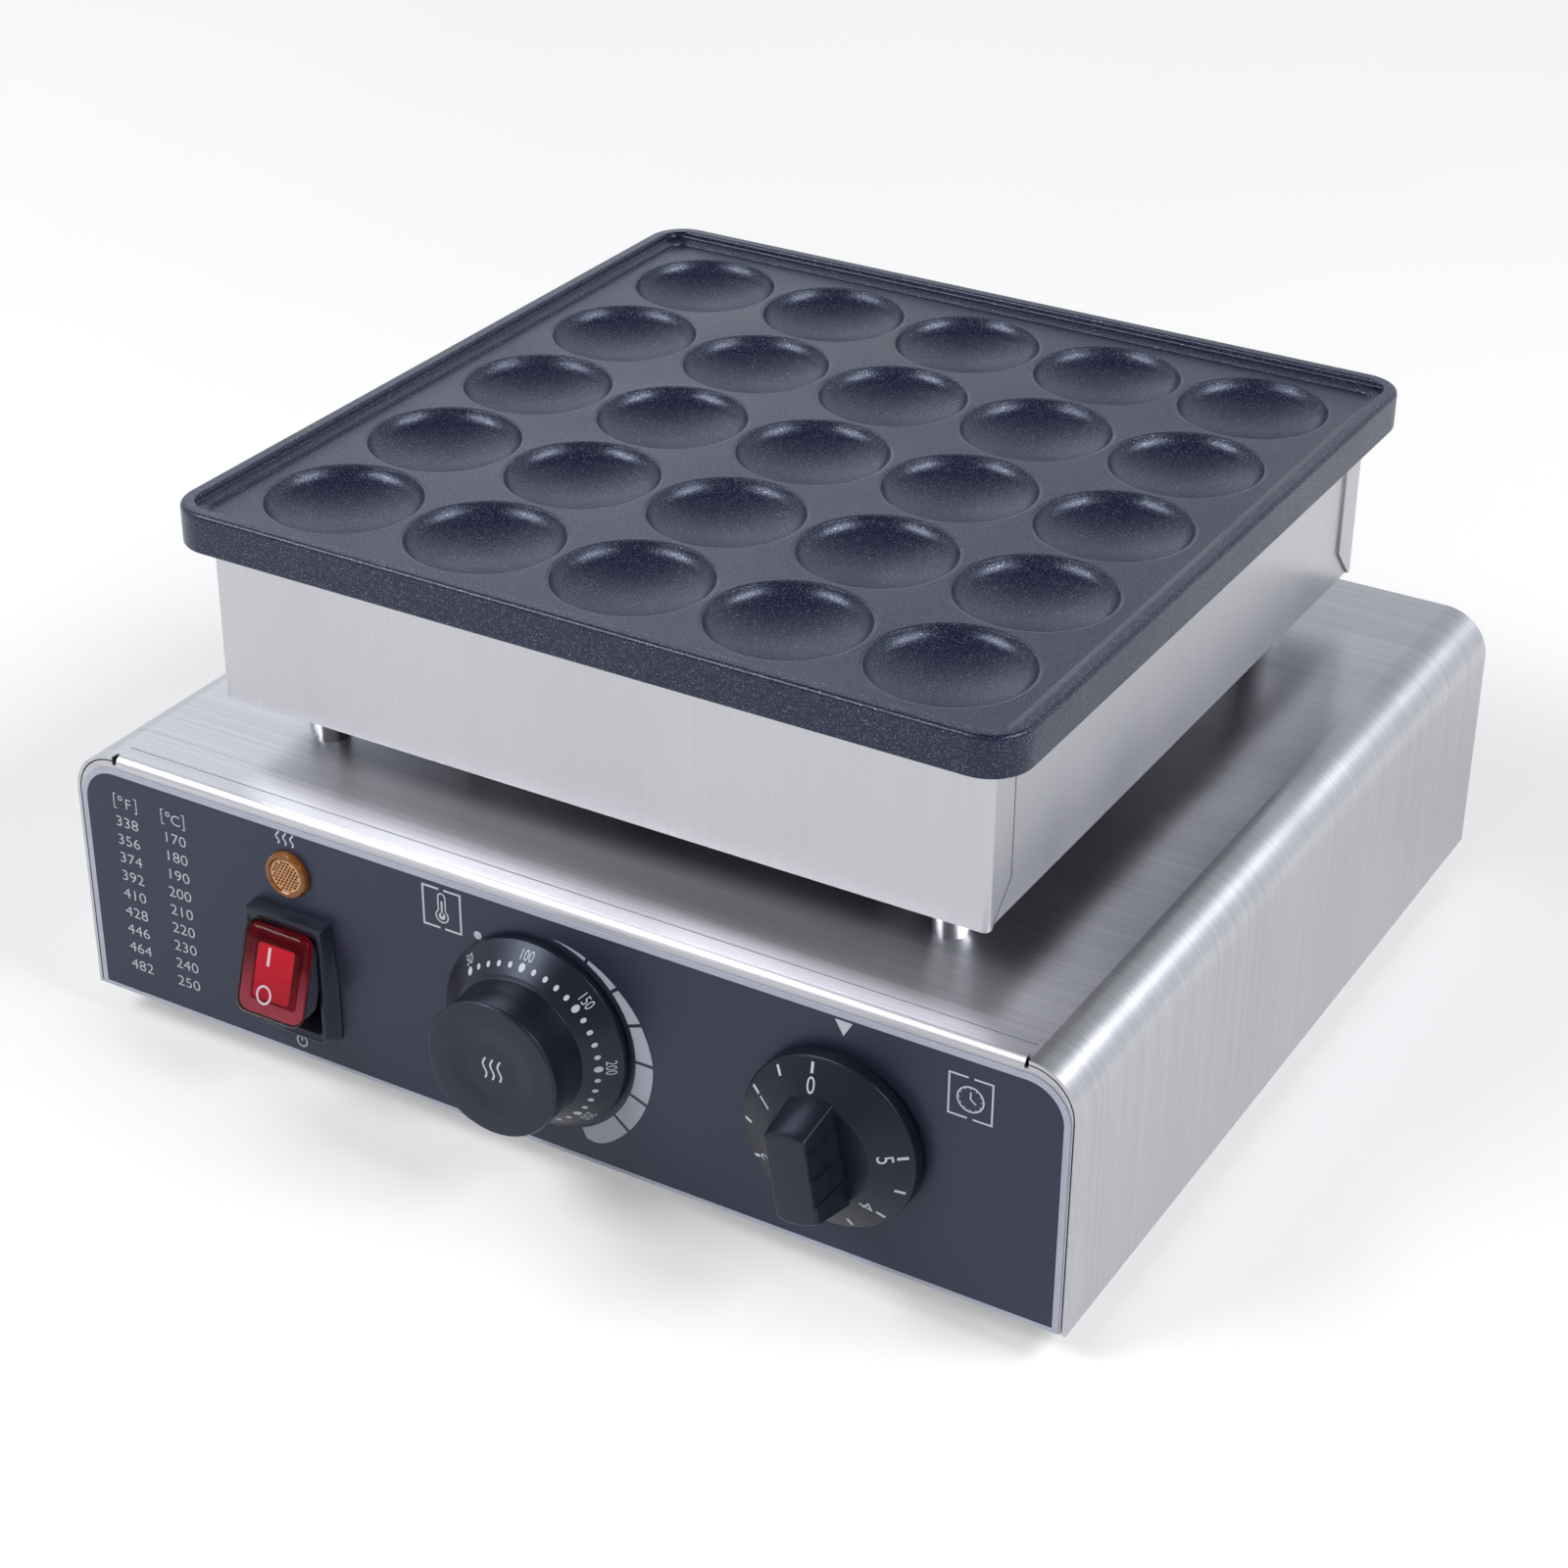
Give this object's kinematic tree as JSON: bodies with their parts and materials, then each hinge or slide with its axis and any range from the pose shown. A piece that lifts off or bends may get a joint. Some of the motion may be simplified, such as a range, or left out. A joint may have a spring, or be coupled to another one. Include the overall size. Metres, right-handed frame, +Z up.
{
  "type": "mini pancake maker",
  "caption": "Tabletop mini pancake maker: square dark cupped plate on a brushed steel heater box, raised on posts above a steel control base with dial, timer and rocker switch.",
  "frame": {"origin": "centre of the whole outline in plan, knobs and cable gland included, on the table under the feet", "axes": "+X to the right seen from the front, +Y to the rear, +Z up; the control panel faces -Y"},
  "size_m": [0.312, 0.3202, 0.1634],
  "materials": {
    "cast_plate": "cast plate with a dark grey speckled non-stick coating",
    "steel_sheet": "brushed stainless steel sheet",
    "steel_dark": "heat-darkened steel tube",
    "zinc_steel": "bright zinc-plated steel",
    "post_steel": "turned bright steel",
    "copper": "bare copper",
    "brass": "tinned brass",
    "ceramic": null,
    "mat_fibre": "ceramic fibre blanket",
    "overlay_print": "charcoal printed polycarbonate film",
    "knob_black": "satin black moulded plastic",
    "black_plastic": "black moulded nylon",
    "pale_plastic": "off-white moulded plastic",
    "red_lens": "clear red plastic, lit from inside",
    "amber_lens": "clear amber plastic",
    "foot_rubber": "black rubber",
    "wire_sleeve": "silicone and glass-fibre wire sleeve"
  },
  "bodies": {
    "base": {"baking_plate": "cast_plate", "heating_element": "steel_dark", "element_insulators": "ceramic", "element_pins": "zinc_steel", "element_clamps": "zinc_steel", "plate_studs": "zinc_steel", "stud_nuts": "zinc_steel", "sensor_bulb": "copper", "bulb_clip": "zinc_steel", "bulb_clip_screws": "zinc_steel", "capillary_tube": "copper", "heat_reflector": "steel_sheet", "insulation_mat": "mat_fibre", "heater_tray": "steel_sheet", "heater_front": "steel_sheet", "heater_rear": "steel_sheet", "post_front_left": "post_steel", "post_front_right": "post_steel", "post_rear_left": "post_steel", "post_rear_right": "post_steel", "post_screws": "zinc_steel", "post_nuts": "zinc_steel", "wire_conduit": "black_plastic", "base_cover": "steel_sheet", "control_overlay": "overlay_print", "rear_panel": "steel_sheet", "base_plate": "steel_sheet", "base_plate_screws": "zinc_steel", "rear_panel_screws": "zinc_steel", "foot_front_left": "foot_rubber", "foot_front_right": "foot_rubber", "foot_rear_left": "foot_rubber", "foot_rear_right": "foot_rubber", "foot_screws": "zinc_steel", "foot_nuts": "zinc_steel", "thermostat_body": "pale_plastic", "thermostat_terminals": "brass", "thermostat_screws": "zinc_steel", "timer_body": "pale_plastic", "timer_terminals": "brass", "timer_screws": "zinc_steel", "switch_frame": "black_plastic", "switch_body": "black_plastic", "switch_terminals": "brass", "lamp_lens": "amber_lens", "lamp_body": "pale_plastic", "lamp_nut": "zinc_steel", "cable_gland": "black_plastic", "gland_nut": "black_plastic", "earth_stud": "brass", "terminal_block": "pale_plastic", "heater_leads": "wire_sleeve", "switch_leads": "wire_sleeve", "control_leads": "wire_sleeve"},
    "thermostat": {"thermostat_knob": "knob_black", "thermostat_shaft": "zinc_steel"},
    "timer": {"timer_knob": "knob_black", "timer_shaft": "zinc_steel"},
    "rocker": {"rocker_carrier": "black_plastic", "rocker_cap": "red_lens"}
  },
  "joints": [
    {"name": "thermostat_turn", "type": "hinge", "parent": "base", "child": "thermostat", "pos_m": [0, -0.1459, 0.048], "axis": [0, -1, 0], "range_deg": [-14, 186]},
    {"name": "timer_turn", "type": "hinge", "parent": "base", "child": "timer", "pos_m": [0.0905, -0.1459, 0.0485], "axis": [0, 1, 0], "range_deg": [0, 270], "stiffness_Nm_per_rad": 0.004},
    {"name": "power_rock", "type": "hinge", "parent": "base", "child": "rocker", "pos_m": [-0.0815, -0.1339, 0.039], "axis": [1, 0, 0], "range_deg": [0, 36]}
  ]
}
